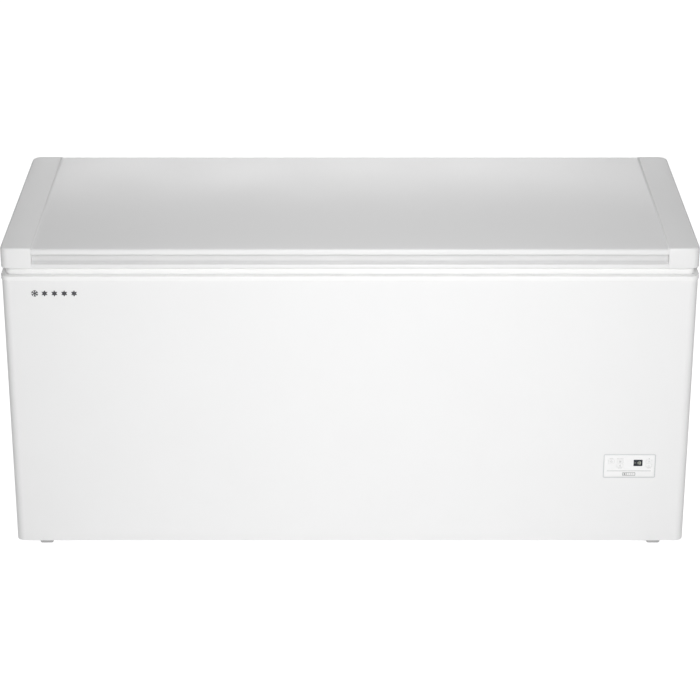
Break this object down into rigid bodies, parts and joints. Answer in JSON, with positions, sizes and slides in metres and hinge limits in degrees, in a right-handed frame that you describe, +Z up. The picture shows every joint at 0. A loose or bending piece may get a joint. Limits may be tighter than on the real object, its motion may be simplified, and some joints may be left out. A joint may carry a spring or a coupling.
{
  "type": "chest freezer",
  "caption": "White chest freezer with a hinged lid between moulded end caps, front grip groove, collar, wire baskets, control panel and castors.",
  "frame": {"origin": "centre of the bounding box on the floor plane the castors stand on", "axes": "+X to the right of a person in front and along the length, +Y to the rear and the hinges, +Z up"},
  "size_m": [1.736, 0.732, 0.8315],
  "materials": {
    "painted_steel": "smooth white enamel",
    "white_moulding": "smooth white moulding",
    "liner_sheet": "stucco embossed, white coated",
    "galvanised": "galvanised sheet",
    "zinc_fastener": "zinc plated",
    "foam": "rigid polyurethane foam, matte",
    "copper_pipe": "drawn copper pipe",
    "coil_steel": "coated steel pipe",
    "compressor_paint": "satin black enamel",
    "dark_plastic": "matte black plastic",
    "black_rubber": "matte rubber",
    "grille_plastic": "white moulded plastic",
    "bezel_grey": "satin grey plastic",
    "fascia_film": "smooth white film",
    "display_glass": "dark glossy window",
    "badge_grey": "dark grey relief",
    "castor_plastic": "light grey nylon",
    "gasket_vinyl": "soft white vinyl",
    "drain_plastic": "white plastic",
    "lamp_white": "white plastic",
    "lamp_clear": "milky lens",
    "coated_wire": "white coated wire"
  },
  "bodies": {
    "cabinet": {"outer_shell": "painted_steel", "rear_panel": "galvanised", "base_pan": "galvanised", "foam_body": "foam", "inner_liner": "liner_sheet", "top_collar": "white_moulding", "evaporator_coil": "copper_pipe", "condenser_coil": "coil_steel", "compressor": "compressor_paint", "terminal_cover": "dark_plastic", "mounting_rail": "galvanised", "rubber_grommets": "black_rubber", "mount_bolts": "zinc_fastener", "discharge_line": "copper_pipe", "suction_line": "copper_pipe", "filter_drier": "copper_pipe", "control_box": "dark_plastic", "rear_cover": "galvanised", "cord_gland": "dark_plastic", "side_grille": "grille_plastic", "panel_bezel": "bezel_grey", "panel_fascia": "fascia_film", "display_window": "display_glass", "badge": "badge_grey", "castor_brackets": "zinc_fastener", "castor_axles": "zinc_fastener", "drain_tube": "drain_plastic", "drain_spout": "drain_plastic", "hinge_base_left": "galvanised", "hinge_base_right": "galvanised", "hinge_pins": "zinc_fastener"},
    "lid": {"lid_top_panel": "painted_steel", "lid_cap_left": "white_moulding", "lid_cap_right": "white_moulding", "lid_handle": "white_moulding", "lid_rear_rail": "white_moulding", "lid_foam": "foam", "lid_inner_panel": "liner_sheet", "lid_gasket": "gasket_vinyl", "lid_bracket_left": "galvanised", "lid_bracket_right": "galvanised", "lamp_housing": "lamp_white", "lamp_lens": "lamp_clear"},
    "drain_cap": {"drain_cap": "dark_plastic"},
    "drain_plug": {"drain_plug": "drain_plastic"},
    "basket_left": {"basket_left": "coated_wire"},
    "basket_middle": {"basket_middle": "coated_wire"},
    "basket_right": {"basket_right": "coated_wire"},
    "key_power": {"key_power": "fascia_film"},
    "key_freeze": {"key_freeze": "fascia_film"},
    "key_alarm": {"key_alarm": "fascia_film"},
    "key_up": {"key_up": "fascia_film"},
    "key_down": {"key_down": "fascia_film"},
    "wheel_front_left": {"wheel_front_left": "castor_plastic"},
    "wheel_front_right": {"wheel_front_right": "castor_plastic"},
    "wheel_rear_left": {"wheel_rear_left": "castor_plastic"},
    "wheel_rear_right": {"wheel_rear_right": "castor_plastic"}
  },
  "joints": [
    {"name": "lid_hinge", "type": "hinge", "parent": "cabinet", "child": "lid", "pos_m": [0, 0.356, 0.7725], "axis": [-1, 0, 0], "range_deg": [0, 80]},
    {"name": "basket_left_slide", "type": "slide", "parent": "cabinet", "child": "basket_left", "axis": [1, 0, 0], "range_m": [-0.02, 0.13]},
    {"name": "basket_middle_slide", "type": "slide", "parent": "cabinet", "child": "basket_middle", "axis": [1, 0, 0], "range_m": [-0.13, 0.13]},
    {"name": "basket_right_slide", "type": "slide", "parent": "cabinet", "child": "basket_right", "axis": [1, 0, 0], "range_m": [-0.13, 0.02]},
    {"name": "key_power_press", "type": "slide", "parent": "cabinet", "child": "key_power", "axis": [0, 1, 0], "range_m": [0, 0.0008], "stiffness_N_per_m": 800, "springref_m": -0.0006},
    {"name": "key_freeze_press", "type": "slide", "parent": "cabinet", "child": "key_freeze", "axis": [0, 1, 0], "range_m": [0, 0.0008], "stiffness_N_per_m": 800, "springref_m": -0.0006},
    {"name": "key_alarm_press", "type": "slide", "parent": "cabinet", "child": "key_alarm", "axis": [0, 1, 0], "range_m": [0, 0.0008], "stiffness_N_per_m": 800, "springref_m": -0.0006},
    {"name": "key_up_press", "type": "slide", "parent": "cabinet", "child": "key_up", "axis": [0, 1, 0], "range_m": [0, 0.0008], "stiffness_N_per_m": 800, "springref_m": -0.0006},
    {"name": "key_down_press", "type": "slide", "parent": "cabinet", "child": "key_down", "axis": [0, 1, 0], "range_m": [0, 0.0008], "stiffness_N_per_m": 800, "springref_m": -0.0006},
    {"name": "wheel_front_left_spin", "type": "hinge", "parent": "cabinet", "child": "wheel_front_left", "pos_m": [-0.791, -0.336, 0.022], "axis": [1, 0, 0], "continuous": true},
    {"name": "wheel_front_right_spin", "type": "hinge", "parent": "cabinet", "child": "wheel_front_right", "pos_m": [0.791, -0.336, 0.022], "axis": [1, 0, 0], "continuous": true},
    {"name": "wheel_rear_left_spin", "type": "hinge", "parent": "cabinet", "child": "wheel_rear_left", "pos_m": [-0.791, 0.308, 0.022], "axis": [1, 0, 0], "continuous": true},
    {"name": "wheel_rear_right_spin", "type": "hinge", "parent": "cabinet", "child": "wheel_rear_right", "pos_m": [0.791, 0.308, 0.022], "axis": [1, 0, 0], "continuous": true},
    {"name": "drain_cap_turn", "type": "hinge", "parent": "cabinet", "child": "drain_cap", "pos_m": [0.746, -0.34, 0.0105], "axis": [0, 0, 1], "range_deg": [0, 90]},
    {"name": "drain_plug_lift", "type": "slide", "parent": "cabinet", "child": "drain_plug", "axis": [0, 0, 1], "range_m": [0, 0.03]}
  ]
}
